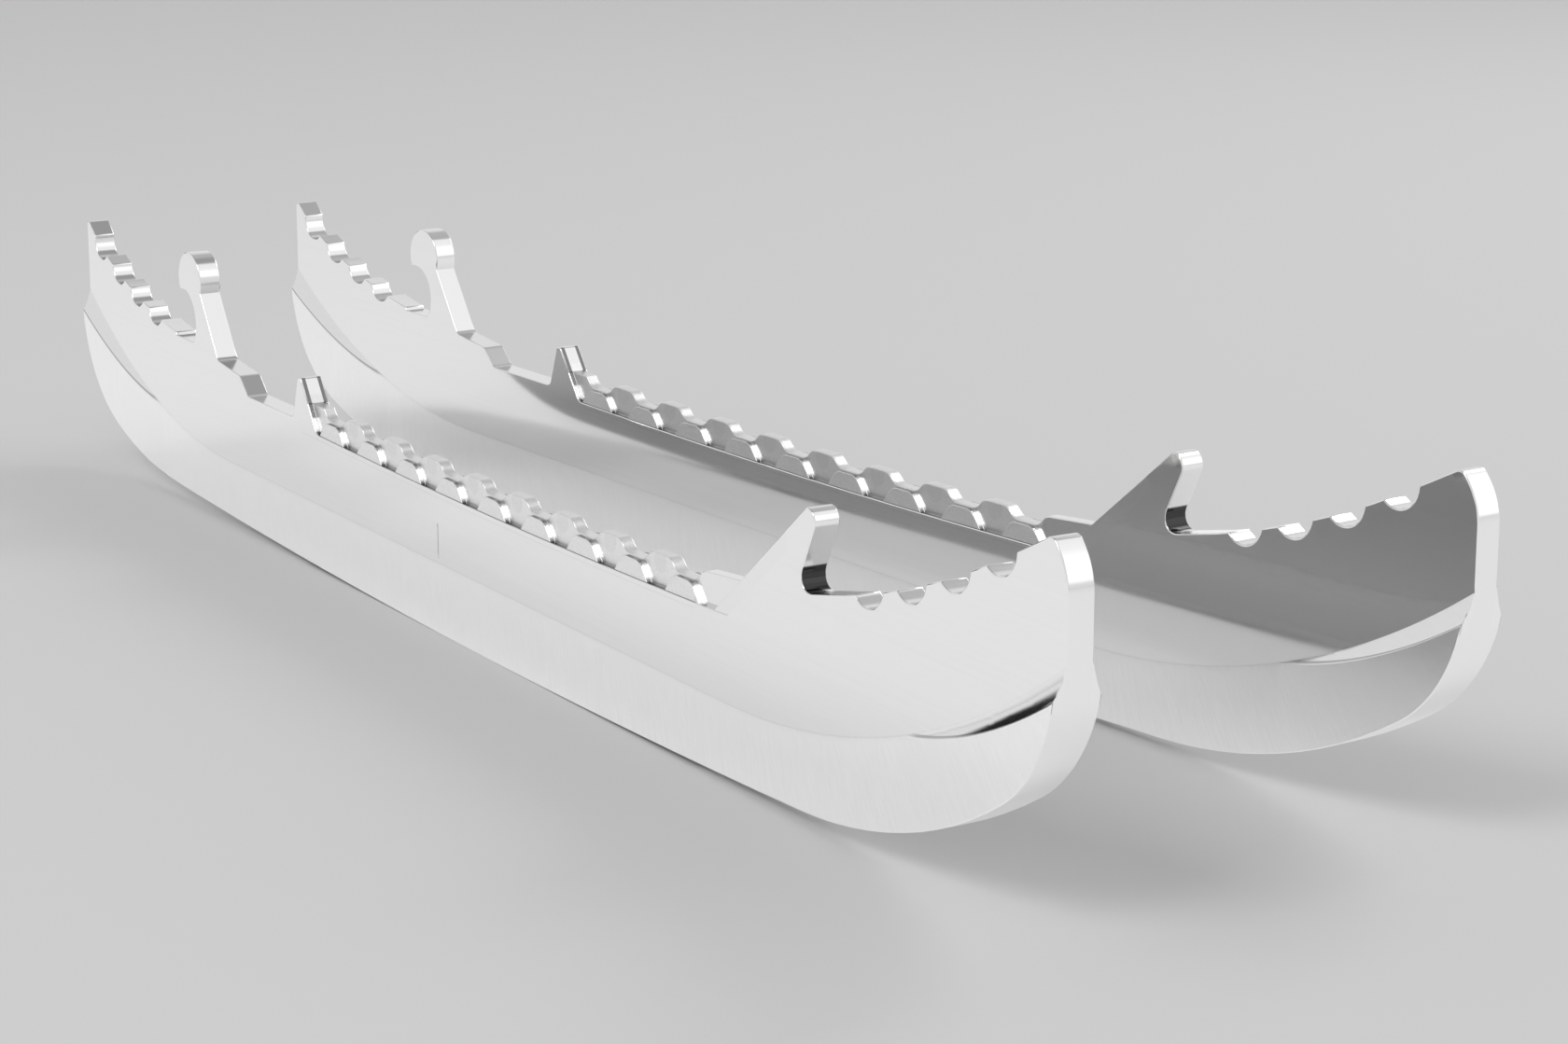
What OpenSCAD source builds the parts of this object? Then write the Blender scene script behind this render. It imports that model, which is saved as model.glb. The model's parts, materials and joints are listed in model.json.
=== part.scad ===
// A pair of goaltender's ice skate runners, each machined from one flat steel bar.
// Both toes point to +X and the ice is the plane z = 0. In its holder a runner hooks in at
// the toe and is held by a latch that bears under the round head of its heel post.

/* [Pair] */
// Distance between the two runners at mid length
pair_gap = 47; // [30:1:90]
// Angle by which the two runners open towards the toes
pair_splay = 3.7; // [0:0.1:8]

/* [Runner] */
// Length from the heel end to the toe end
runner_l = 280; // [270:1:306]
// Thickness of the upper plate that slides into the holder
plate_t = 3.4; // [2.6:0.1:5]
// Radius of the rocker along the running edge
rocker_r = 2440; // [1800:10:9000]
// Lowest point of the rocker, ahead of mid length
rocker_x = 3; // [-20:1:20]
// Depth of the hollow ground between the two edges of the running face
hollow_d = 0.12; // [0.05:0.01:0.25]
// Width of each of those edges
edge_w = 0.35; // [0.2:0.05:0.6]

/* [Running band] */
// Height of the shoulder line above the ice at mid length
band_h = 10.1; // [7:0.1:13]
// Amount by which the band stands out of each face at its ends
flare_w = 1.45; // [0.5:0.05:2.5]
// Length of each flared end
flare_l = 31; // [20:1:45]
// Radius of the shoulder line where it climbs to the toe
toe_shoulder_r = 121; // [100:1:160]
// Distance from the toe end to the start of that climb
toe_shoulder_l = 68.5; // [50:0.5:80]
// Radius of the shoulder line where it climbs to the heel
heel_shoulder_r = 105; // [90:1:160]
// Distance from the heel end to the start of that climb
heel_shoulder_l = 59; // [50:0.5:80]
// Angle between the shoulder and the plate where they meet
shoulder_angle = 14; // [5:1:25]
// Radius of the hollow of the shoulder, across the line
shoulder_hollow_r = 7.1; // [6:0.1:12]

/* [Toe end] */
// Height of the toe corner before it is rounded
toe_h = 44.8; // [43:0.1:47]
// Radius of the toe corner
toe_tip_r = 1.2; // [0.6:0.1:2]
// Distance from the toe end to that corner
toe_tip_l = 2.8; // [1.5:0.1:4]
// Height from which the end face leans back to the corner
toe_lean_h = 41.2; // [39:0.1:42]
// Radius where it starts to lean
toe_lean_r = 7.7; // [4:0.1:10]
// Height at which the end face stands upright
toe_upright_h = 32; // [28:0.5:36]
// Radius of the end face below that
toe_corner_r = 21; // [12:0.5:26]
// Radius of the underside behind it
toe_under_r = 86; // [75:1:120]
// Distance from the toe end to the bend of the top edge
toe_bend_l = 28.8; // [24:0.2:34]
// Height of that bend before it is rounded
toe_bend_h = 31.8; // [30:0.1:34]
// Radius of the bend
toe_bend_r = 150; // [60:1:180]

/* [Toe hook] */
// Distance from the toe end to the corner of the throat
hook_l = 53.3; // [50:0.2:60]
// Height of the throat's corner
hook_floor_h = 27.2; // [24:0.1:29]
// Radius in the throat
hook_throat_r = 1.7; // [1:0.1:2.5]
// Height of the top of the hook
hook_h = 37.8; // [34:0.1:41]
// Width of the top of the hook
hook_top_w = 2.8; // [2:0.1:6]
// Radius of the tip
hook_tip_r = 1.6; // [0.5:0.1:2.2]
// Radius of the corner at the back of the top
hook_back_r = 0.3; // [0.2:0.1:0.8]
// Slope of the hook's toe side
hook_lean = 63.4; // [55:0.2:80]
// Slope of the hook's heel side
hook_slant = 38.5; // [32:0.5:50]

/* [Heel end] */
// Height of the heel tip
heel_h = 39.7; // [38:0.1:44]
// Width of the heel tip
heel_tip_w = 1; // [0.6:0.1:3]
// Distance from the heel end to the foot of the tip's slope
heel_tip_l = 4.6; // [4:0.1:6]
// Height of the foot of that slope
heel_tip_foot_h = 36.6; // [36:0.1:37.4]
// Radius of the heel tip
heel_tip_r = 0.8; // [0.2:0.1:1.2]
// Height at which the end face stands upright
heel_upright_h = 27; // [24:0.5:30]
// Radius of the end face below that
heel_corner_r = 21; // [12:0.5:23]
// Radius of the underside in front of it
heel_under_r = 60; // [50:1:90]
// Distance from the heel end to the bend of the top edge
heel_bend_l = 22.6; // [18:0.2:28]
// Height of that bend before it is rounded
heel_bend_h = 28.8; // [27.5:0.1:30]
// Radius of the bend
heel_bend_r = 120; // [60:1:140]

/* [Heel latch post] */
// Distance from the heel end to the centre of the throat
latch_l = 41.8; // [40:0.1:46]
// Height of the centre of the throat
latch_h = 29.8; // [29:0.1:31]
// Radius of the throat
latch_throat_r = 4.7; // [4:0.1:5.4]
// Height of the floor of the throat
latch_floor_h = 26.6; // [26:0.1:27.6]
// Radius of the head above the throat
latch_head_r = 4.4; // [3.8:0.1:5]
// Distance from the centre of the throat forward to the centre of the head
latch_head_l = 2.7; // [2:0.1:4]
// Height of the centre of the head
latch_head_h = 36.3; // [35:0.1:38]
// Distance from the centre of the throat forward to the foot of the post
latch_foot_l = 13.2; // [11:0.1:16]
// Slope of the post's toe side
latch_lean = 56; // [50:0.5:70]
// Radius at the foot of that side
latch_foot_r = 1.5; // [0.5:0.1:2.5]

/* [Guide post] */
// Distance from the heel end to the foot of the guide post
post_l = 83.6; // [82:0.2:90]
// Height of the land in front of the latch post
land_h = 25.3; // [24.5:0.1:26]
// Height of the land at its other end
land_end_h = 24.4; // [23.5:0.1:25]
// Height of the seat behind the guide post
seat_h = 21.7; // [21:0.1:23]
// Length of that seat
seat_l = 17; // [14:0.2:18]
// Length of the slope from the land to the seat
seat_slope_l = 3; // [2:0.1:4]
// Radius of the corners along the land and the seat
seat_r = 1.2; // [0.5:0.1:2]
// Height of the guide post
post_h = 28; // [26.5:0.1:31]
// Width of the guide post at its top
post_top_w = 1; // [0.6:0.1:2]
// Slope of the guide post's heel side
post_back = 71; // [65:0.5:85]
// Slope of the guide post's toe side
post_front = 55; // [45:0.5:75]
// Radius of the corners at its top
post_tip_r = 0.4; // [0.2:0.05:0.5]
// Radius at its foot on the toe side
post_foot_r = 0.6; // [0.3:0.1:1.2]

/* [Scoops] */
// Scoops along the top edge at each end
scoop_count = 4; // [2:1:4]
// Radius of a scoop at the toe
toe_scoop_r = 3.4; // [2.5:0.1:4]
// Distance between the scoops at the toe
toe_scoop_pitch = 8.45; // [8:0.05:9]
// Distance from the toe end to the nearest scoop
toe_scoop_l = 12.6; // [11:0.1:15]
// Radius of a scoop at the heel
heel_scoop_r = 3; // [2.2:0.1:3.6]
// Distance between the scoops at the heel
heel_scoop_pitch = 7.7; // [7:0.05:8.2]
// Distance from the heel end to the nearest scoop
heel_scoop_l = 6.3; // [6:0.1:8]
// Depth of a scoop
scoop_d = 1.7; // [0.8:0.1:2.2]

/* [Waved rebate] */
// Height of the lower edge of the rebate at mid length
rebate_h = 20; // [18:0.1:21]
// Height of the crests at mid length
crest_h = 24.05; // [23:0.05:26]
// Drop from a crest to the valley beside it
wave_d = 1.45; // [0.8:0.05:2]
// Length of one wave
wave_pitch = 12.89; // [11:0.01:15]
// Length of the flat top of a wave
wave_top_w = 5; // [3:0.1:6]
// Length of the flank of a wave
wave_flank_w = 1.4; // [0.8:0.1:2]
// Radius where flats and flanks meet
wave_r = 2.2; // [0.5:0.1:3]
// Distance from the foot of the guide post to the middle of the first whole wave
wave_start = 19.9; // [18:0.1:23]
// Depth of the rebate in each face
rebate_d = 0.15; // [0.1:0.05:0.7]
// Radius of the corners of the rebate
rebate_r = 1.5; // [0.5:0.1:2]
// Depth of the pockets in each face
pocket_d = 0.82; // [0.75:0.01:1.2]
// Width of the rebated strip along the hook
strip_w = 2; // [1:0.1:3]
// Length of that strip along the slope
strip_l = 13.5; // [8:0.5:16]
// Width of a lobe at its foot
lobe_foot_w = 8.6; // [7:0.1:10]
// Width of a lobe at its top
lobe_top_w = 4.4; // [3:0.1:5.5]
// Radius at the foot of a lobe
lobe_foot_r = 0.8; // [0.3:0.1:1.2]
// Distance of a lobe below the valley above it
lobe_gap = 0.2; // [0.1:0.05:0.4]

/* [Centre mark] */
// Distance of the engraved mark behind mid length
mark_x = 7.6; // [0:0.1:20]
// Height of the lower end of the mark
mark_h = 10.8; // [10:0.1:12]
// Length of the mark
mark_l = 4.9; // [3:0.1:6]
// Width of the mark
mark_w = 0.3; // [0.2:0.05:0.5]
// Depth of the mark
mark_d = 0.1; // [0.05:0.01:0.2]

/* [Hidden] */

// Steps in an arc, and the length by which a cut runs out of the metal
arc_steps = 6;
rocker_steps = 20;
past = 2;
$fn = 96;

toe_x = runner_l / 2;
heel_x = -runner_l / 2;
rocker_c = [rocker_x, rocker_r];

function unit(v) = v / norm(v);
function polar(c, r, a) = c + r * [cos(a), sin(a)];
function bearing(v) = atan2(v[1], v[0]);
function mirrored(path, side) = [for (p = path) [side * p[0], p[1]]];
function reversed(path) = [for (i = [len(path) - 1 : -1 : 0]) path[i]];
function rocker_z(x) = rocker_r - sqrt(pow(rocker_r, 2) - pow(x - rocker_x, 2));

// Points of an arc, and the length that rounding a corner takes from both its sides
function arc(c, r, a0, a1, steps) = [for (i = [0 : steps]) polar(c, r, a0 + (a1 - a0) * i / steps)];
function half_angle(a, p, b) = acos(max(-1, min(1, unit(a - p) * unit(b - p)))) / 2;
function reach(a, p, b) = p[2] / tan(half_angle([a[0], a[1]], [p[0], p[1]], [b[0], b[1]]));

// Round one corner. Each corner is [x, z, radius], and two that share a short side share it fairly.
function rounded_corner(path, i) =
    let (
        n = len(path),
        a = path[(i + n - 1) % n],
        p = path[i],
        b = path[(i + 1) % n],
        at = [p[0], p[1]],
        to_a = [a[0], a[1]] - at,
        to_b = [b[0], b[1]] - at,
        half = half_angle(at + to_a, at, at + to_b),
        wish = reach(a, p, b),
        wish_a = reach(path[(i + n - 2) % n], a, p),
        wish_b = reach(p, b, path[(i + 2) % n]),
        got = wish * min(1, norm(to_a) / (wish + wish_a), norm(to_b) / (wish + wish_b)),
        c = at + unit(unit(to_a) + unit(to_b)) * got / cos(half),
        from = bearing(at + unit(to_a) * got - c),
        turn = (cross(to_a, to_b) > 0 ? -1 : 1) * (180 - 2 * half)
    )
    p[2] == 0 ? [at] : arc(c, got * tan(half), from, from + turn, arc_steps);
function rounded(path, first, last) = [for (i = [first : last]) each rounded_corner(path, i)];

// Underside of one end, drawn as a toe: the rocker, a wide arc and the end face are tangent
function under_centre(x_end, upright_h, r_end, r_under, side) =
    let (
        a = [side * rocker_x, rocker_r],
        k = [side * x_end - r_end, upright_h],
        span = norm(k - a),
        ra = rocker_r - r_under,
        along = (pow(ra, 2) - pow(r_under - r_end, 2) + pow(span, 2)) / (2 * span),
        dir = (k - a) / span
    )
    a + along * dir + sqrt(pow(ra, 2) - pow(along, 2)) * [dir[1], -dir[0]];
function under_path(x_end, upright_h, r_end, r_under, side) =
    let (
        u = under_centre(x_end, upright_h, r_end, r_under, side),
        k = [side * x_end - r_end, upright_h],
        a = bearing(u - [side * rocker_x, rocker_r]),
        b = bearing(k - u)
    )
    mirrored(concat(arc(u, r_under, a, b, arc_steps * 2), arc(k, r_end, b, 0, arc_steps * 2)), side);
toe_under = under_path(toe_x, toe_upright_h, toe_corner_r, toe_under_r, 1);
heel_under = under_path(heel_x, heel_upright_h, heel_corner_r, heel_under_r, -1);
rocker = arc(rocker_c, rocker_r, bearing(heel_under[0] - rocker_c), bearing(toe_under[0] - rocker_c), rocker_steps);

// Corners of the toe's top edge, from the end face to the foot of the hook
hook_x = toe_x - hook_l;
hook_tip_x = hook_x + (hook_h - hook_floor_h) / tan(hook_lean);
hook_back = [hook_tip_x - hook_top_w, hook_h];
slant = [-cos(hook_slant), -sin(hook_slant)];
crest_end_z = crest_h + rocker_z(hook_back[0]);
hook_foot = hook_back + slant * (hook_h - crest_end_z) / sin(hook_slant);
toe_corners = [
    [toe_x, toe_upright_h, 0],
    [toe_x, toe_lean_h, toe_lean_r],
    [toe_x - toe_tip_l, toe_h, toe_tip_r],
    [toe_x - toe_bend_l, toe_bend_h, toe_bend_r],
    [hook_x, hook_floor_h, hook_throat_r],
    [hook_tip_x, hook_h, hook_tip_r],
    [hook_back[0], hook_h, hook_back_r],
    [hook_foot[0], hook_foot[1], wave_r],
    [hook_foot[0] - wave_top_w, hook_foot[1], 0]
];
toe_top = rounded(toe_corners, 1, 7);
toe_ramp = concat(reversed(rounded(toe_corners, 3, 3)), [[toe_x - toe_tip_l, toe_h]]);

// Sides of the guide post
post_x = heel_x + post_l;
post_top_x = post_x + (post_h - seat_h) / tan(post_back);
function post_front_x(z) = post_top_x + post_top_w + (post_h - z) / tan(post_front);
post_crest_z = crest_h + rocker_z(post_front_x(crest_h));

// Waves, from the hook to the guide post. The one beside the hook runs level up to it.
wave_x0 = post_x + wave_start;
wave_count = floor((hook_foot[0] - wave_top_w / 2 - wave_x0) / wave_pitch) + 1;
function wave_x(i) = wave_x0 + i * wave_pitch;
function crest(x) = [x, crest_h + rocker_z(x), wave_r];
function valley(x) = [x, crest_h - wave_d + rocker_z(x), wave_r];
wave_foot = wave_top_w / 2 + wave_flank_w;
wave_corners = [
    for (i = [wave_count - 1 : -1 : -1])
        each [
            if (i < wave_count - 1) valley(wave_x(i) + wave_foot),
            if (i < wave_count - 1) crest(wave_x(i) + wave_top_w / 2),
            if (i >= 0) crest(wave_x(i) - wave_top_w / 2),
            if (i >= 0) valley(wave_x(i) - wave_foot)
        ]
];

// Corners of the heel's top edge, from the guide post to the end face
latch_c = [heel_x + latch_l, latch_h];
latch_head = [latch_c[0] + latch_head_l, latch_head_h];
latch_foot_x = latch_c[0] + latch_foot_l;
heel_corners = [
    [post_front_x(post_crest_z), post_crest_z, post_foot_r],
    [post_top_x + post_top_w, post_h, post_tip_r],
    [post_top_x, post_h, post_tip_r],
    [post_x, seat_h, seat_r],
    [post_x - seat_l, seat_h, seat_r],
    [post_x - seat_l - seat_slope_l, land_end_h, seat_r],
    [latch_foot_x, land_h, latch_foot_r],
    [latch_foot_x - (latch_head_h - land_h) / tan(latch_lean), latch_head_h, 0],
    [latch_head[0], latch_head_h, 0],
    [latch_c[0], latch_floor_h, 0],
    [heel_x + heel_bend_l, heel_bend_h, heel_bend_r],
    [heel_x + heel_tip_l, heel_tip_foot_h, heel_tip_r],
    [heel_x + heel_tip_w, heel_h, heel_tip_r],
    [heel_x, heel_h, heel_tip_r],
    [heel_x, heel_upright_h, 0]
];
heel_top_path = concat([wave_corners[len(wave_corners) - 1]], heel_corners);
heel_top = rounded(heel_top_path, 1, len(heel_corners) - 1);
heel_bend_i = len(heel_top_path) - 5;
heel_ramp = concat([[heel_x + heel_tip_l, heel_tip_foot_h]],
                   reversed(rounded(heel_top_path, heel_bend_i, heel_bend_i)));
wave_path = concat([[hook_foot[0], hook_foot[1], 0]], wave_corners, [heel_corners[0]]);
wave_top = rounded(wave_path, 1, len(wave_corners));

outline = concat(rocker, toe_under, toe_top, wave_top, heel_top, reversed(heel_under));

// Rebate in each face below the waves, with the strip that climbs along the hook
strip_off = strip_w * [sin(hook_slant), -cos(hook_slant)];
strip_end = hook_foot - slant * strip_l;
rebate_left = post_front_x(rebate_h + rocker_z(post_front_x(rebate_h)));
function rebate_z(x) = rebate_h + rocker_z(x);
rebate_right = hook_foot[0] + strip_off[0]
    - (hook_foot[1] + strip_off[1] - rebate_z(hook_foot[0])) / tan(hook_slant);
rebate_floor = [
    for (i = [0 : rocker_steps])
        let (x = rebate_left + (rebate_right - rebate_left) * i / rocker_steps)
            [x, rebate_z(x), i == 0 || i == rocker_steps ? rebate_r : 0]
];
rebate_corners = concat(
    rebate_floor,
    [
        [strip_end[0] + strip_off[0], strip_end[1] + strip_off[1], rebate_r],
        [strip_end[0] - strip_off[0], strip_end[1] - strip_off[1], 0],
        [hook_foot[0] - past, post_h + past, 0],
        [post_top_x + post_top_w, post_h + past, 0],
        [post_top_x + post_top_w, post_h, 0]
    ]
);
rebate = rounded(rebate_corners, 0, len(rebate_corners) - 1);

// One lobe stands in each valley, between the deeper pockets of two waves. The pockets end
// at the line of the hook's slope.
function lobe(x) = rounded(
    [
        [x + lobe_foot_w / 2, rebate_z(x) - past, 0],
        [x + lobe_foot_w / 2, rebate_z(x), lobe_foot_r],
        [x + lobe_top_w / 2, valley(x)[1] - lobe_gap, wave_r],
        [x - lobe_top_w / 2, valley(x)[1] - lobe_gap, wave_r],
        [x - lobe_foot_w / 2, rebate_z(x), lobe_foot_r],
        [x - lobe_foot_w / 2, rebate_z(x) - past, 0]
    ], 0, 5);
pocket_edge = [hook_foot + 2 * strip_l * slant, hook_foot - 2 * strip_l * slant];

// Stand an outline of x and z upright, as thick as asked
module upright(thick) {
    rotate([90, 0, 0])
        linear_extrude(thick, center = true) children();
}

// Everything within a given depth of one face, for cutting into it
module into_face(side, depth) {
    translate([0, side * (plate_t / 2 - depth / 2 + past / 2), 0])
        upright(depth + past) children();
}

module side_view() {
    difference() {
        union() {
            polygon(outline);
            translate(latch_head) circle(latch_head_r);
        }
        for (i = [0 : scoop_count - 1]) {
            scoop(toe_x - toe_scoop_l - i * toe_scoop_pitch, toe_scoop_r, toe_ramp);
            scoop(heel_x + heel_scoop_l + i * heel_scoop_pitch, heel_scoop_r, heel_ramp);
        }
        latch_throat();
    }
}

// Round throat under the head, with a level floor
module latch_throat() {
    intersection() {
        translate(latch_c) circle(latch_throat_r);
        translate([latch_c[0] - latch_throat_r, latch_floor_h]) square(2 * latch_throat_r);
    }
}

module scoop(x, r, ramp) {
    translate([x, lookup(x, ramp) + r - scoop_d]) circle(r);
}

// The part of the band that stands out of one face at one end, below its hollow shoulder
module flare(end, side) {
    shoulder_l = end > 0 ? toe_shoulder_l : heel_shoulder_l;
    shoulder_r = end > 0 ? toe_shoulder_r : heel_shoulder_r;
    difference() {
        intersection() {
            upright(plate_t + 2 * flare_w) side_view();
            linear_extrude(toe_h) polygon([
                [end * (runner_l / 2 - flare_l), 0],
                [end * (runner_l / 2 - flare_l), side * plate_t / 2],
                [end * runner_l / 2, side * (plate_t / 2 + flare_w)],
                [end * runner_l / 2, 0]
            ]);
        }
        translate([end * (runner_l / 2 - shoulder_l), side * plate_t / 2, band_h + shoulder_r])
            rotate([-side * 90, 0, 0]) shoulder_cutter(shoulder_r);
    }
}

// Wide disc with a round rim, which leaves the hollow shoulder behind
module shoulder_cutter(shoulder_r) {
    rim = shoulder_hollow_r * [-sin(shoulder_angle), cos(shoulder_angle)];
    rotate_extrude() {
        square([shoulder_r, flare_w + past]);
        translate([shoulder_r + rim[0], rim[1]]) circle(shoulder_hollow_r);
    }
}

// Pockets under the waves, with the lobes left standing between them
module pocket_outline() {
    difference() {
        intersection() {
            polygon(rebate);
            polygon([pocket_edge[0], pocket_edge[1], [post_x, pocket_edge[1][1]],
                     [post_x, pocket_edge[0][1]]]);
        }
        for (i = [-1 : wave_count - 2]) polygon(lobe(wave_x(i) + wave_pitch / 2));
    }
}

// Shallow hollow along the rocker, which leaves the two edges that bite the ice
module hollow() {
    depth_r = rocker_r - hollow_d;
    upright(plate_t - 2 * edge_w)
        polygon(concat(
            arc(rocker_c, rocker_r + past, bearing(heel_under[0] - rocker_c),
                bearing(toe_under[0] - rocker_c), rocker_steps),
            reversed(arc(rocker_c, depth_r, bearing(heel_under[0] - rocker_c),
                         bearing(toe_under[0] - rocker_c), rocker_steps))
        ));
}

// One runner along the x axis, with its mark in the face that looks out of the pair
module runner(outer) {
    difference() {
        union() {
            upright(plate_t) side_view();
            for (end = [-1, 1], side = [-1, 1]) flare(end, side);
        }
        for (side = [-1, 1]) {
            into_face(side, rebate_d) polygon(rebate);
            into_face(side, pocket_d) pocket_outline();
        }
        into_face(outer, mark_d)
            translate([-mark_x - mark_w / 2, mark_h]) square([mark_w, mark_l]);
        hollow();
    }
}

// Stand a runner in its place in the pair, where side is 1 for the left and -1 for the right
module placed(side) {
    translate([0, side * pair_gap / 2, 0])
        rotate([0, 0, side * pair_splay / 2]) children();
}

module right_runner() {
    color("gainsboro") placed(-1) runner(-1);
}

module left_runner() {
    color("silver") placed(1) runner(1);
}

right_runner();
left_runner();
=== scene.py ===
"""A pair of goaltender's ice skate runners: polished steel plates over ground running bands."""
import json
from math import atan2, copysign, cos, hypot, pi, radians, sin, sqrt

import bmesh
import bpy
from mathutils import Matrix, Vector


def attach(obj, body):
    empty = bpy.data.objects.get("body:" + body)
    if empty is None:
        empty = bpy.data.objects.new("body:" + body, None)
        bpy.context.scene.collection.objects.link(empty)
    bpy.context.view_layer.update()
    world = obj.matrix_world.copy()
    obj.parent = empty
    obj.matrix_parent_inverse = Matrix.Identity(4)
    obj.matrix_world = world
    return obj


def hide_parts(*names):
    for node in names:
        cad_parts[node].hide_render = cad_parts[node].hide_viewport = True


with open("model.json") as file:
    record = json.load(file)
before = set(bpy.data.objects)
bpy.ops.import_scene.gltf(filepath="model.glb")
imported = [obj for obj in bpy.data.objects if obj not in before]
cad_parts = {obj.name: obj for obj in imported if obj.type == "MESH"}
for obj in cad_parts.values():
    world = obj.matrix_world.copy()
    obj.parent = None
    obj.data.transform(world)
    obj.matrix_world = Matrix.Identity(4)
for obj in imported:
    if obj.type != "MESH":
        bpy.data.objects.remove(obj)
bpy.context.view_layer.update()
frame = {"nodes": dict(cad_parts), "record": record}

MM = 0.001

# Plate and running face, in mm
RUNNER_L = 280
PLATE_T = 3.4
ROCKER_R = 2440
ROCKER_X = 3

# Shoulder line over the running band: level in the middle, and cut by a disc at either end
BAND_H = 10.1
TOE_SHOULDER_R = 121
TOE_SHOULDER_L = 68.5
HEEL_SHOULDER_R = 105
HEEL_SHOULDER_L = 59
TOE_TURN = RUNNER_L / 2 - TOE_SHOULDER_L
HEEL_TURN = HEEL_SHOULDER_L - RUNNER_L / 2

# Flared ends of the band, and the hollow slopes between them and the plate
FLARE_L = 31
FLARE_W = 1.45
SLOPE_W = 3.4
SLOPE_ANGLE = radians(14)
SLOPE_HOLLOW_R = 7.1

# Waved rebate with its pockets and lobes, and the disc that the cutter left in each pocket
REBATE_D = 0.15
REBATE_H = 20
REBATE_LINE_H = 19.35
REBATE_TOP = 26
REBATE_ENDS = (-54, 64)
POCKET_HALF_T = 0.88
LOBE_H = 22.4
WAVE_X = -36.5
WAVE_PITCH = 12.89
DISC_H = 23.2
DISC_R = 1.6

# Throat of the hook
THROAT_X = 89
THROAT_H = 29.3
THROAT_R = 1.6

# Where one finish or painted shade gives way to the next, in mm from the edge, line, face or middle that it
# follows
FACE_FADE = (-0.13, -0.07)
BAND_FADE = (-0.1, 0.1)
STROKE_OVERRUN = 0.4
SLOPE_START = (-0.04, 0.04)
SLOPE_END = (-0.2, 0)
LEFT_FADE = (-0.5, 0.5)
REBATE_FADE = 1
POCKET_FADE = (0.1, 0.2)
POCKET_FOOT = (0, 0.1)
POCKET_TOP = (-0.5, 0)
LOBE_FADE = (0.03, 0.06)
WALL_FADE = (0.04, 0.08)
LEDGE_FADE = (0.04, 0.09)
FOOT_FADE = (0.2, 0.9)
BROW_FADE = (-0.4, -0.1)
DISC_FADE = (-0.1, 0)
THROAT_FADE = (-0.24, 0)
BAND_LINE = (0.05, 0.16)
REBATE_LINE = (0.03, 0.11)
SLOPE_LINE = (0.03, 0.07)
SLOPE_LINE_IN = 0.1
SLOPE_LINE_END = (-0.4, 0)
FLARE_START = (0, 0.2)
STROKE_END = (-0.9, 0)

# Greys of the finishes and of the painted shade, each a level and a tint
PLATE_DARK = (0.73, 0.008)
PLATE_PALE = (0.77, 0.008)
# Grey of the inner faces: painted shade, darker than the plate's own grey
INNER_SHADE_GREY = (0.47, 0.008)
GROUND_DARK = (0.74, 0.01)
GROUND_PALE = (0.86, 0.01)
MILLED_GREY = (0.74, 0.005)
CLOUD_DARK = (0.62, 0.01)
CLOUD_PALE = (0.82, 0.005)
DISC_GREY = (0.2, 0)
# Grey of the fine lines; the one along the slopes' lower edges is painted shade
LINE_GREY = (0.1, 0)
# Grey of the painted shade in the inner corners
CORNER_SHADE_GREY = (0.01, 0)

# Roughness of the finishes: the ends of a range, one value, or what haze adds to the plate
PLATE_ROUGH = (0.03, 0.07)
HAZE_ROUGH = 0.01
SATIN_ROUGH = 0.36
GROUND_ROUGH = (0.2, 0.26)
MILLED_ROUGH = 0.14
CLOUD_ROUGH = (0.3, 0.42)

# How strongly each mark darkens the steel, with painted shade and a painted dark reflection among them
DISC_DARK = 0.08
LEDGE_DARK = 0.93
FOOT_DARK = 0.85
BROW_DARK = 0.75
THROAT_DARK = 0.95
BAND_LINE_DARK = 0.1
SLOPE_LINE_DARK = 0.5
STROKE_END_DARK = 0.12
REBATE_LINE_DARK = 0.1

# Grain of the finishes: turns per mm, octaves of detail, and how deep a stroke is where it shows
STROKE_GRAIN = 3.4
STROKE_LEAN = 0.9
STROKE_ACROSS = 0.3
STROKE_DETAIL = 3
STROKE_DEEP = (0.5, 0.62)
STREAK_GRAIN = (0.03, 2, 2.2)
STREAK_DETAIL = 4
CLOUD_GRAIN = 3.5
CLOUD_DETAIL = 3
HAZE_GRAIN = 0.06
HAZE_DETAIL = 2

# Relief of the finishes, as shares of a depth in mm
RELIEF_D = 0.012
RELIEF_STRENGTH = 0.35
STROKE_RELIEF = 0.5
STREAK_RELIEF = 0.05
CLOUD_RELIEF = 0.4

# Broken edges, in mm: as wide as a share of the face beside them, up to a limit
EDGE_BREAK = 0.15
EDGE_SHARE = 0.15
EDGE_STEPS = 3
SHARP_ANGLE = radians(32)
CREASE_ANGLE = radians(2)

# Mesh of the solid: lengths in mm, limits that tell its faces apart, and numbers of steps
WELD = 0.002
FLAT_ANGLE = radians(0.08)
ON_FACE = 0.6
SLOPING = 0.1
ON_PLATE = 0.01
SLOPE_CUTS = 3
EDGE_ROUNDS = 5

# Camera in the frame of the part, with its focal length in pixels of the photograph
CAMERA_AT = Vector((418.27, -243.83, 131.97)) * MM
CAMERA_YAW = radians(-57.122)
CAMERA_PITCH = radians(-13.692)
CAMERA_NEAR = 0.01
FOCAL_PX = 3842
PHOTO_W = 1680
SENSOR_W = 36

# Floor, in metres and grey levels
FLOOR_R = 4
FLOOR_SIDES = 64
FLOOR_GREY = 0.92
FLOOR_ROUGH = 0.9
FLOOR_SPECULAR = 0.1
CAMERA_SHARE = 0.6

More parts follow.
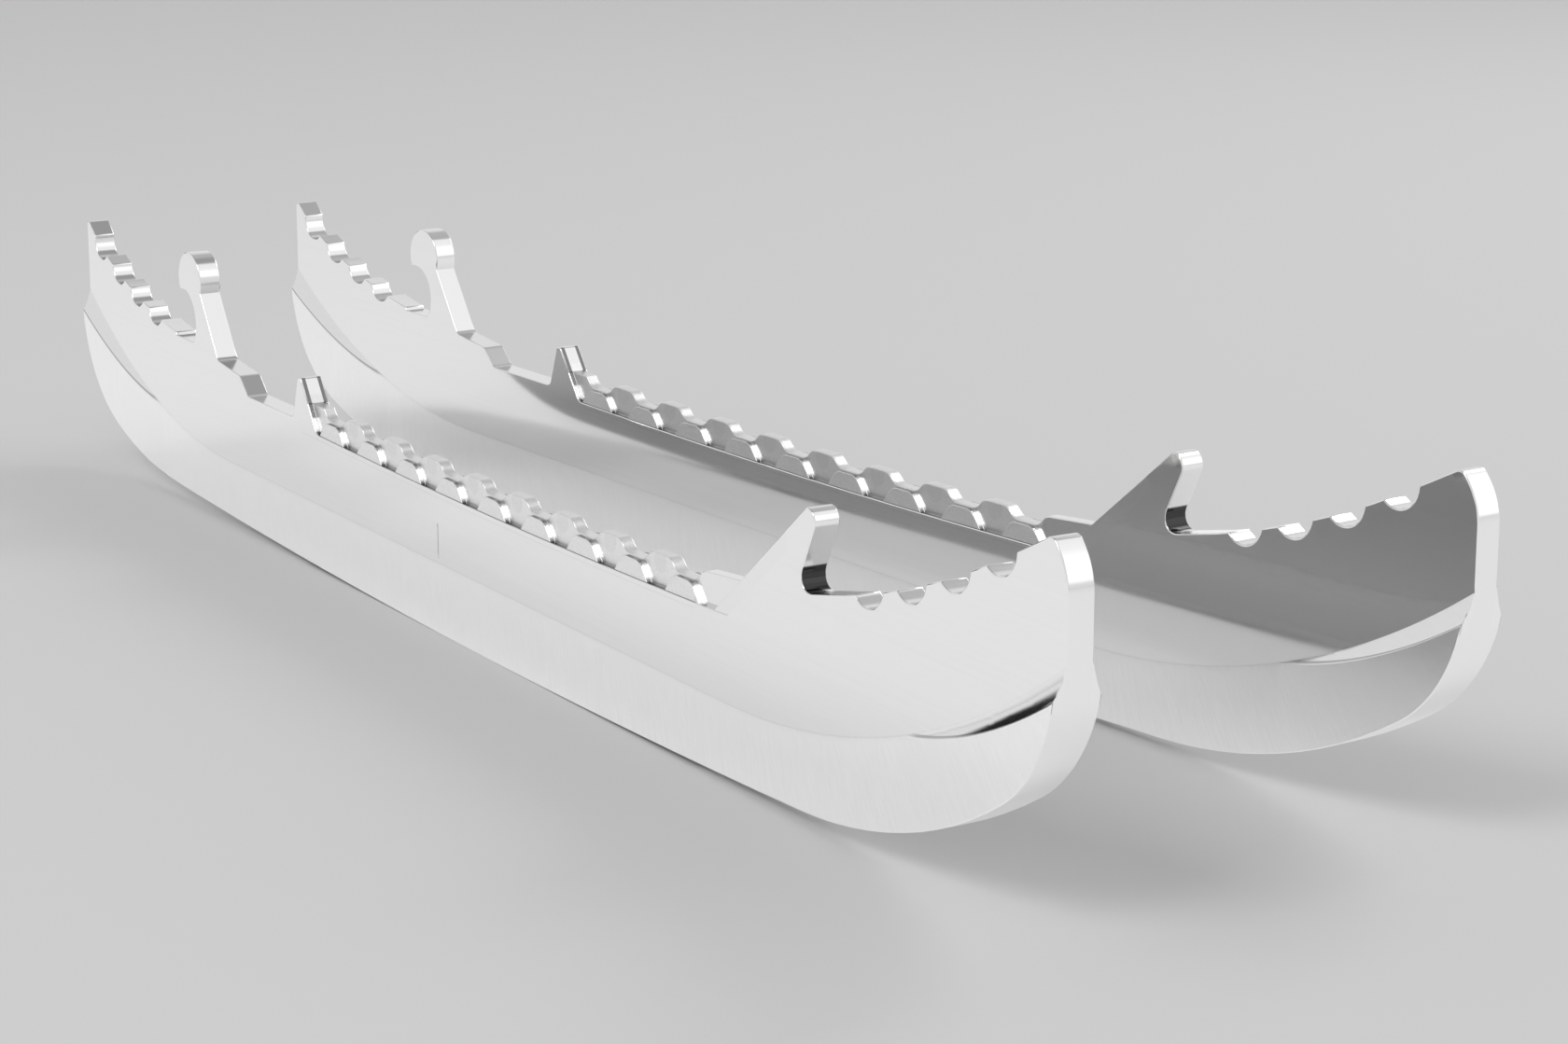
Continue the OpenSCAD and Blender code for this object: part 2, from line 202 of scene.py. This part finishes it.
# Light tent: levels, directions as compass angle and rise, and where each part fades, in degrees
SIDE_LEVEL = 0.9
ROOF_LEVEL = 0.58
CROWN_LEVEL = 0.4
ROOF_RISE = (34, 48)
CROWN_RISE = (60, 68)
DOOR_LEVEL = 0.02
DOOR_AT = (180, 0)
DOOR_REACH = (12, 17)
DOOR_SILL = (1, 3)
DOOR_LINTEL = (8, 11)
PANEL_EXTRA = 0.55
TOE_PANEL_AT = (52, 32)
TOE_PANEL_REACH = (30, 34)
FRONT_PANEL_AT = (306, 55)
FRONT_PANEL_REACH = (18, 22)

# Lamps, in metres and watts
KEY_AT = (0.3, -0.9, 1)
KEY_AIM = (0.04, -0.05, 0)
KEY_SIZE = 0.5
KEY_WATTS = 4.8
FILL_AT = (-0.1, 0.8, 0.7)
FILL_AIM = (0, 0, 0)
FILL_SIZE = 0.4
FILL_WATTS = 2


class Value:
    """One output in a node tree. Operators on values and numbers add Math nodes."""

    def __init__(self, tree, socket):
        self.tree = tree
        self.socket = socket

    def output(self, name):
        return Value(self.tree, self.socket.node.outputs[name])

    def maths(self, operation, *terms):
        return self.tree.node("ShaderNodeMath", {"operation": operation}, dict(enumerate(terms)))

    def __add__(self, other):
        return self.maths("ADD", self, other)

    def __sub__(self, other):
        return self.maths("SUBTRACT", self, other)

    def __rsub__(self, other):
        return self.maths("SUBTRACT", other, self)

    def __mul__(self, other):
        return self.maths("MULTIPLY", self, other)

    __radd__ = __add__
    __rmul__ = __mul__

    def absolute(self):
        return self.maths("ABSOLUTE", self)

    def least(self, other):
        return self.maths("MINIMUM", self, other)

    def most(self, other):
        return self.maths("MAXIMUM", self, other)

    def length(self, other):
        """The length of a vector of two values."""
        return self.maths("SQRT", self * self + other * other)

    def turn(self, other):
        """The angle from the second value's axis to the first's."""
        return self.maths("ARCTAN2", self, other)

    def fold(self, half):
        """The distance from the nearest of the points that repeat at twice this half."""
        return self.maths("PINGPONG", self, half)

    def step(self, start, end):
        """0 up to start and 1 from end on, with a smooth rise between them."""
        return self.tree.node(
            "ShaderNodeMapRange",
            {"interpolation_type": "SMOOTHSTEP"},
            {"Value": self, "From Min": start, "From Max": end},
        )

    def past(self, edge, fade):
        """0 to 1 past an edge, over a fade that is counted from it."""
        return self.step(edge + fade[0], edge + fade[1])

    def near(self, fade):
        """1 close to zero on either side, and 0 past the fade."""
        return 1 - self.absolute().step(*fade)


class Tree:
    """The nodes of one material or world."""

    def __init__(self, owner):
        owner.use_nodes = True
        self.nodes = owner.node_tree.nodes
        self.links = owner.node_tree.links
        self.nodes.clear()

    def node(self, kind, settings=None, inputs=None, output=0):
        """Add a node, set it up, fill or link its sockets and give one of its outputs."""
        made = self.nodes.new(kind)
        for name, setting in (settings or {}).items():
            setattr(made, name, setting)
        for name, value in (inputs or {}).items():
            if isinstance(value, Value):
                self.links.new(value.socket, made.inputs[name])
            else:
                made.inputs[name].default_value = value
        return Value(self, made.outputs[output]) if made.outputs else None

    def mix(self, factor, low, high):
        """Numbers mixed by a factor."""
        return self.node("ShaderNodeMix", {}, {0: factor, 2: low, 3: high})

    def mix_colour(self, factor, low, high):
        return self.node("ShaderNodeMix", {"data_type": "RGBA"}, {0: factor, 6: low, 7: high}, 2)

    def vector(self, x, y, z):
        return self.node("ShaderNodeCombineXYZ", {}, {0: x, 1: y, 2: z})

    def dot(self, vector, other):
        return self.node("ShaderNodeVectorMath", {"operation": "DOT_PRODUCT"}, {0: vector, 1: other}, "Value")

    def noise(self, vector, detail, scale=1):
        return self.node("ShaderNodeTexNoise", {}, {"Vector": vector, "Scale": scale, "Detail": detail})


class Place:
    """Where a runner stands: its middle on the floor and how far it is turned about Z."""

    def __init__(self, side):
        mounts = {mount["name"]: mount for mount in frame["record"]["mounts"]}
        face = mounts[side + "_plate_face"]
        outward = Vector(face["axis"])
        middle = Vector(face["pos_m"]) - outward * (PLATE_T / 2 * MM)
        left = 1 if outward.y > 0 else -1
        self.turn = atan2(-left * outward.x, left * outward.y)
        self.middle = (middle.x, middle.y, 0)

    def own(self, point):
        """A point of the part in the runner's own mm: along, across and up."""
        x = (point.x - self.middle[0]) / MM
        y = (point.y - self.middle[1]) / MM
        return Vector((
            x * cos(self.turn) + y * sin(self.turn),
            y * cos(self.turn) - x * sin(self.turn),
            point.z / MM,
        ))

    def part(self, own):
        """The point of the part at a place in the runner's own mm."""
        return Vector((
            self.middle[0] + (own.x * cos(self.turn) - own.y * sin(self.turn)) * MM,
            self.middle[1] + (own.x * sin(self.turn) + own.y * cos(self.turn)) * MM,
            own.z * MM,
        ))


def grey(level, tint=0.0):
    """A grey that tint turns slightly towards green."""
    return (level * (1 - tint), level, level * (1 - tint), 1)


class Steel:
    """A shaded point of a runner: where it lies in the runner's own mm, and the finish it has there."""

    def __init__(self, tree, place):
        self.tree = tree
        self.own = tree.node("ShaderNodeMapping", {"vector_type": "TEXTURE"}, {
            "Vector": tree.node("ShaderNodeTexCoord", output="Object"),
            "Location": place.middle,
            "Rotation": (0, 0, place.turn),
            "Scale": (MM, MM, MM),
        })
        self.x = tree.node("ShaderNodeSeparateXYZ", {}, {0: self.own})
        self.y = self.x.output("Y")
        self.z = self.x.output("Z")
        self.find_shoulder()
        self.find_grain()
        self.find_faces()
        self.find_waves()

    def find_shoulder(self):
        """Height above the shoulder line, and distance along it."""
        past_toe = (self.x - TOE_TURN).most(0)
        past_heel = (HEEL_TURN - self.x).most(0)
        under_toe = BAND_H + TOE_SHOULDER_R - self.z
        under_heel = BAND_H + HEEL_SHOULDER_R - self.z
        above_toe = TOE_SHOULDER_R - past_toe.length(under_toe)
        above_heel = HEEL_SHOULDER_R - past_heel.length(under_heel)
        self.above = above_toe.least(above_heel)
        toe_arc = past_toe.turn(under_toe) * TOE_SHOULDER_R
        heel_arc = past_heel.turn(under_heel) * HEEL_SHOULDER_R
        self.along = self.x.least(TOE_TURN).most(HEEL_TURN) + toe_arc - heel_arc

    def find_grain(self):
        """Grinding strokes across the band, polishing streaks along the plate, clouds and haze."""
        leaning = self.along * STROKE_GRAIN + self.above * STROKE_LEAN
        stroked = self.tree.vector(leaning, self.above * STROKE_ACROSS, self.y)
        self.strokes = self.tree.noise(stroked, STROKE_DETAIL)
        grain_x, grain_y, grain_z = STREAK_GRAIN
        streaked = self.tree.vector(self.x * grain_x, self.y * grain_y, self.z * grain_z)
        self.streaks = self.tree.noise(streaked, STREAK_DETAIL)
        self.clouds = self.tree.noise(self.own, CLOUD_DETAIL, CLOUD_GRAIN)
        self.haze = self.tree.noise(self.own, HAZE_DETAIL, HAZE_GRAIN)

    def find_faces(self):
        """Flat faces, the band on them, the slopes beside it, and all the rest, which is milled."""
        overrun = (self.strokes - 0.5) * STROKE_OVERRUN
        self.below = 1 - (self.above + overrun).step(*BAND_FADE)
        self.out = self.y.absolute() - PLATE_T / 2
        self.flare = (self.x.absolute() - (RUNNER_L / 2 - FLARE_L)).most(0) * (FLARE_W / FLARE_L)
        self.face = (self.out - self.flare * self.below).step(*FACE_FADE)
        slope = self.below * (1 - self.face) * self.out.step(*SLOPE_START)
        slope = slope * self.above.past(-SLOPE_W, SLOPE_END)
        self.ground = self.face * self.below
        self.milled = 1 - self.face - slope
        # The inner faces: a rougher satin finish, and a darker grey that is painted shade
        self.inner_satin_shade = self.y.step(*LEFT_FADE) * self.face

    def find_waves(self):
        """The waved rebate with its pockets and lobes, and height above the rockered running face."""
        rocker_x = self.x - ROCKER_X
        self.rise = self.z - rocker_x * rocker_x * (0.5 / ROCKER_R)
        heel_end, toe_end = REBATE_ENDS
        from_heel = self.x.past(heel_end, (0, REBATE_FADE))
        self.waved = from_heel * (1 - self.x.past(toe_end, (-REBATE_FADE, 0)))
        pocket = self.waved * (1 - self.y.absolute().past(POCKET_HALF_T, POCKET_FADE))
        pocket = pocket * (1 - self.z.past(REBATE_TOP, POCKET_TOP))
        self.pocket = pocket * self.z.past(REBATE_LINE_H, POCKET_FOOT)
        self.lobe = self.waved * (self.out + REBATE_D).near(LOBE_FADE)
        self.mottled = self.pocket.most(self.lobe)

    def cutter_disc(self):
        """The disc that the cutter left in each pocket."""
        off = (self.x - WAVE_X).fold(WAVE_PITCH / 2).length(self.rise - DISC_H)
        return self.pocket * (1 - off.past(DISC_R, DISC_FADE)) * DISC_DARK

    def painted_corner_shade(self):
        """Painted shade in the inner corners, at the rebate's ledge, the foot of the lobes' walls and the
        hook's throat, and a painted dark reflection along the top of the lobes' walls.
        """
        over = self.rise - REBATE_H
        wall = self.waved * self.out.past(POCKET_HALF_T - PLATE_T / 2, WALL_FADE) * (1 - self.face)
        lobe_wall = wall * (1 - self.lobe)
        # Painted shade at the ledge and at the foot of the lobes' walls, a painted dark reflection at their
        # brow
        ledge_shade = wall * over.near(LEDGE_FADE) * LEDGE_DARK
        foot_shade = lobe_wall * (1 - over.step(*FOOT_FADE)) * FOOT_DARK
        brow_reflection = lobe_wall * over.past(LOBE_H - REBATE_H, BROW_FADE) * BROW_DARK
        # Painted shade in the hook's throat
        off = (self.x - THROAT_X).length(self.z - THROAT_H)
        throat_shade = (1 - off.past(THROAT_R, THROAT_FADE)) * self.milled * THROAT_DARK
        return throat_shade.most(ledge_shade).most(foot_shade).most(brow_reflection)

    def fine_lines(self):
        """Lines where the band begins, with the ends of the strokes under them, and under the rebate; the
        line along each hollow slope's lower edge is painted shade.
        """
        band = self.above.near(BAND_LINE) * self.face
        # Painted shade along the lower edge of each hollow slope
        slope = (self.out - self.flare + SLOPE_LINE_IN).near(SLOPE_LINE) * self.below
        slope = slope * self.flare.step(*FLARE_START) * self.above.past(-SLOPE_W, SLOPE_LINE_END)
        stroke_ends = self.ground * self.above.step(*STROKE_END) * self.strokes.step(*STROKE_DEEP)
        rebate = (self.rise - REBATE_LINE_H).near(REBATE_LINE) * self.face * self.waved
        band_lines = band * BAND_LINE_DARK + slope * SLOPE_LINE_DARK
        return band_lines + stroke_ends * STROKE_END_DARK + rebate * REBATE_LINE_DARK

    def by_surface(self, mix, plate, ground, milled):
        """What a point has on the plate and slopes, on the band, and on all that was milled."""
        return mix(self.milled, mix(self.ground, plate, ground), milled)

    def roughness(self):
        mix = self.tree.mix
        plate = mix(self.inner_satin_shade, mix(self.streaks, *PLATE_ROUGH) + self.haze * HAZE_ROUGH, SATIN_ROUGH)
        ground = mix(self.strokes, *GROUND_ROUGH)
        milled = mix(self.mottled, MILLED_ROUGH, mix(self.clouds, *CLOUD_ROUGH))
        return self.by_surface(mix, plate, ground, milled)

    def colour(self):
        mix = self.tree.mix_colour
        plate = mix(self.streaks, grey(*PLATE_DARK), grey(*PLATE_PALE))
        # The inner faces' plate and band are painted darker: painted shade
        plate = mix(self.inner_satin_shade, plate, grey(*INNER_SHADE_GREY))
        ground = mix(self.strokes, grey(*GROUND_DARK), grey(*GROUND_PALE))
        ground = mix(self.inner_satin_shade, ground, grey(*INNER_SHADE_GREY))
        cloudy = mix(self.clouds, grey(*CLOUD_DARK), grey(*CLOUD_PALE))
        milled = mix(self.mottled, grey(*MILLED_GREY), cloudy)
        milled = mix(self.cutter_disc(), milled, grey(*DISC_GREY))
        # Painted shade in the inner corners
        milled = mix(self.painted_corner_shade(), milled, grey(*CORNER_SHADE_GREY))
        return mix(self.fine_lines(), self.by_surface(mix, plate, ground, milled), grey(*LINE_GREY))

    def relief(self):
        strokes = self.ground * self.strokes * STROKE_RELIEF
        streaks = self.face * self.streaks * STREAK_RELIEF
        return strokes + streaks + self.mottled * self.clouds * CLOUD_RELIEF


def runner_steel(side, place):
    """Polished plate above the shoulder line, ground band below it, milled cuts and edges."""
    material = bpy.data.materials.new(side + "_runner_steel")
    tree = Tree(material)
    steel = Steel(tree, place)
    bump = tree.node("ShaderNodeBump", {}, {
        "Strength": RELIEF_STRENGTH,
        "Distance": RELIEF_D * MM,
        "Height": steel.relief(),
    })
    surface = tree.node("ShaderNodeBsdfPrincipled", {}, {
        "Base Color": steel.colour(),
        "Metallic": 1.0,
        "Roughness": steel.roughness(),
        "Normal": bump,
    })
    tree.node("ShaderNodeOutputMaterial", {}, {"Surface": surface})
    return material


def on_slope(face):
    """Whether a face belongs to one of the hollow slopes."""
    return abs(face.normal.y) > ON_FACE and abs(face.normal.z) > SLOPING


def slope_point(own, inside):
    """Where a point of a hollow slope belongs: inside it on the cutter's rim, or on one of its edges."""
    disc_x, disc_r = (TOE_TURN, TOE_SHOULDER_R) if own.x > 0 else (HEEL_TURN, HEEL_SHOULDER_R)
    rim_r = disc_r - SLOPE_HOLLOW_R * sin(SLOPE_ANGLE)
    rim_y = PLATE_T / 2 + SLOPE_HOLLOW_R * cos(SLOPE_ANGLE)
    ray = Vector((own.x - disc_x, 0, own.z - BAND_H - disc_r)).normalized()
    far = hypot(own.x - disc_x, own.z - BAND_H - disc_r)
    across = abs(own.y)
    if inside:
        turn = atan2(across - rim_y, far - rim_r)
        far, across = rim_r + SLOPE_HOLLOW_R * cos(turn), rim_y + SLOPE_HOLLOW_R * sin(turn)
    elif across < PLATE_T / 2 + ON_PLATE:
        far, across = disc_r, PLATE_T / 2
    else:
        for _ in range(EDGE_ROUNDS):
            past = abs(disc_x + far * ray.x) - RUNNER_L / 2 + FLARE_L
            across = PLATE_T / 2 + FLARE_W * past / FLARE_L
            far = rim_r + sqrt(SLOPE_HOLLOW_R ** 2 - (across - rim_y) ** 2)
    return Vector((disc_x + far * ray.x, copysign(across, own.y), BAND_H + disc_r + far * ray.z))


def round_slopes(edges, place):
    """Split the hollow slopes finely, and set them on the rim of the disc that cut them."""
    around = [edge for edge in edges.edges if any(map(on_slope, edge.link_faces))]
    bmesh.ops.subdivide_edges(edges, edges=around, cuts=SLOPE_CUTS, use_grid_fill=True)
    edges.normal_update()
    for vert in edges.verts:
        sloping = [on_slope(face) for face in vert.link_faces]
        on_end = any(abs(face.normal.y) < ON_FACE for face in vert.link_faces)
        if any(sloping) and not on_end:
            vert.co = place.part(slope_point(place.own(vert.co), all(sloping)))
    edges.normal_update()


def mark_edges(edges, place):
    """Crease the edges of faces and slopes, and say how wide each sharp outer edge is broken."""
    weight = edges.edges.layers.float.new("bevel_weight_edge")
    for edge in edges.edges:
        angle = edge.calc_face_angle()
        beside = sorted(edge.link_faces, key=lambda face: abs(face.normal.y))
        on_faces = abs(beside[0].normal.y) > ON_FACE
        crease = on_faces and angle > CREASE_ANGLE and not all(map(on_slope, beside))
        sharp = angle > SHARP_ANGLE
        edge.smooth = not sharp and not crease
        if sharp and edge.is_convex and not any(map(on_slope, beside)):
            across = [place.own(vert.co).y for vert in beside[0].verts]
            edge[weight] = min(1, EDGE_SHARE * (max(across) - min(across)) / EDGE_BREAK)
    for face in edges.faces:
        face.smooth = True


def finished_runner(side):
    """The runner's solid with its edges broken, welded, and shaded as one smooth piece of steel."""
    node = side + "_runner"
    place = Place(side)
    edges = bmesh.new()
    edges.from_mesh(frame["nodes"][node].data)
    bmesh.ops.remove_doubles(edges, verts=edges.verts, dist=WELD * MM)
    bmesh.ops.dissolve_limit(edges, angle_limit=FLAT_ANGLE, verts=edges.verts, edges=edges.edges)
    round_slopes(edges, place)
    mark_edges(edges, place)
    mesh = bpy.data.meshes.new(side + "_steel_runner")
    edges.to_mesh(mesh)
    edges.free()
    piece = bpy.data.objects.new(side + "_steel_runner", mesh)
    bpy.context.scene.collection.objects.link(piece)
    bevel = piece.modifiers.new("broken_edges", "BEVEL")
    bevel.limit_method = "WEIGHT"
    bevel.width = EDGE_BREAK * MM
    bevel.segments = EDGE_STEPS
    bevel.use_clamp_overlap = False
    bevel.miter_outer = "MITER_ARC"
    normals = piece.modifiers.new("flat_faces", "WEIGHTED_NORMAL")
    normals.keep_sharp = True
    mesh.materials.append(runner_steel(side, place))
    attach(piece, "root")
    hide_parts(node)


def floor_paint():
    """Matt paint, which the camera sees a little darker than the steel does."""
    material = bpy.data.materials.new("floor_paint")
    tree = Tree(material)
    camera_ray = tree.node("ShaderNodeLightPath", output="Is Camera Ray")
    surface = tree.node("ShaderNodeBsdfPrincipled", {}, {
        "Base Color": tree.mix_colour(camera_ray, grey(FLOOR_GREY), grey(FLOOR_GREY * CAMERA_SHARE)),
        "Roughness": FLOOR_ROUGH,
        "Specular IOR Level": FLOOR_SPECULAR,
    })
    tree.node("ShaderNodeOutputMaterial", {}, {"Surface": surface})
    return material


def pale_floor():
    """A round floor that reaches well past every view."""
    turns = [2 * pi * side / FLOOR_SIDES for side in range(FLOOR_SIDES)]
    rim = [(FLOOR_R * cos(turn), FLOOR_R * sin(turn), 0) for turn in turns]
    mesh = bpy.data.meshes.new("pale_floor")
    mesh.from_pydata(rim, [], [tuple(range(FLOOR_SIDES))])
    mesh.materials.append(floor_paint())
    floor = bpy.data.objects.new("pale_floor", mesh)
    bpy.context.scene.collection.objects.link(floor)


def soft_box(name, at, aim, size, watts):
    """A square lamp that looks from one point to another."""
    lamp = bpy.data.lights.new(name, "AREA")
    lamp.shape = "SQUARE"
    lamp.size = size
    lamp.energy = watts
    box = bpy.data.objects.new(name, lamp)
    box.location = at
    box.rotation_mode = "QUATERNION"
    box.rotation_quaternion = (Vector(aim) - Vector(at)).to_track_quat("-Z", "Y")
    box.visible_camera = False
    bpy.context.scene.collection.objects.link(box)


def risen(rise, fade):
    """0 to 1 over a fade between two rises in degrees."""
    low, high = fade
    return rise.step(sin(radians(low)), sin(radians(high)))


def round_patch(tree, toward, at, reach):
    """1 around a direction and 0 away from it, over a fade between two distances in degrees."""
    turn, rise = map(radians, at)
    middle = Vector((cos(turn) * cos(rise), sin(turn) * cos(rise), sin(rise)))
    full, none = map(radians, reach)
    return tree.dot(toward, middle).step(cos(none), cos(full))


def light_tent():
    """A white tent with a dark door, a dimmer roof, two bright panels, a key and a fill."""
    world = bpy.data.worlds.new("light_tent")
    bpy.context.scene.world = world
    tree = Tree(world)
    toward = tree.node("ShaderNodeTexCoord", output="Generated")
    rise = tree.node("ShaderNodeSeparateXYZ", {}, {0: toward}).output("Z")
    walls = tree.mix(risen(rise, ROOF_RISE), SIDE_LEVEL, ROOF_LEVEL)
    toe_panel = round_patch(tree, toward, TOE_PANEL_AT, TOE_PANEL_REACH)
    front_panel = round_patch(tree, toward, FRONT_PANEL_AT, FRONT_PANEL_REACH)
    panels = toe_panel.most(front_panel) * PANEL_EXTRA
    level = tree.mix(risen(rise, CROWN_RISE), walls, CROWN_LEVEL) + panels
    door = round_patch(tree, toward, DOOR_AT, DOOR_REACH)
    door = door * risen(rise, DOOR_SILL) * (1 - risen(rise, DOOR_LINTEL))
    level = tree.mix(door, level, DOOR_LEVEL)
    camera_ray = tree.node("ShaderNodeLightPath", output="Is Camera Ray")
    background = tree.node("ShaderNodeBackground", {}, {
        "Color": grey(1),
        "Strength": tree.mix(camera_ray, level, FLOOR_GREY * CAMERA_SHARE),
    })
    tree.node("ShaderNodeOutputWorld", {}, {"Surface": background})
    soft_box("key_box", KEY_AT, KEY_AIM, KEY_SIZE, KEY_WATTS)
    soft_box("fill_box", FILL_AT, FILL_AIM, FILL_SIZE, FILL_WATTS)


def photo_camera():
    """The photograph's camera."""
    lens = bpy.data.cameras.new("photo_camera")
    lens.sensor_fit = "HORIZONTAL"
    lens.sensor_width = SENSOR_W
    lens.lens = SENSOR_W * FOCAL_PX / PHOTO_W
    lens.clip_start = CAMERA_NEAR
    camera = bpy.data.objects.new("photo_camera", lens)
    forward = Vector((
        sin(CAMERA_YAW) * cos(CAMERA_PITCH),
        cos(CAMERA_YAW) * cos(CAMERA_PITCH),
        sin(CAMERA_PITCH),
    ))
    camera.location = CAMERA_AT
    camera.rotation_mode = "QUATERNION"
    camera.rotation_quaternion = forward.to_track_quat("-Z", "Y")
    bpy.context.scene.collection.objects.link(camera)
    bpy.context.scene.camera = camera


photo_camera()
pale_floor()
light_tent()
for runner_side in ("right", "left"):
    finished_runner(runner_side)

bpy.context.scene.view_settings.view_transform = "Standard"
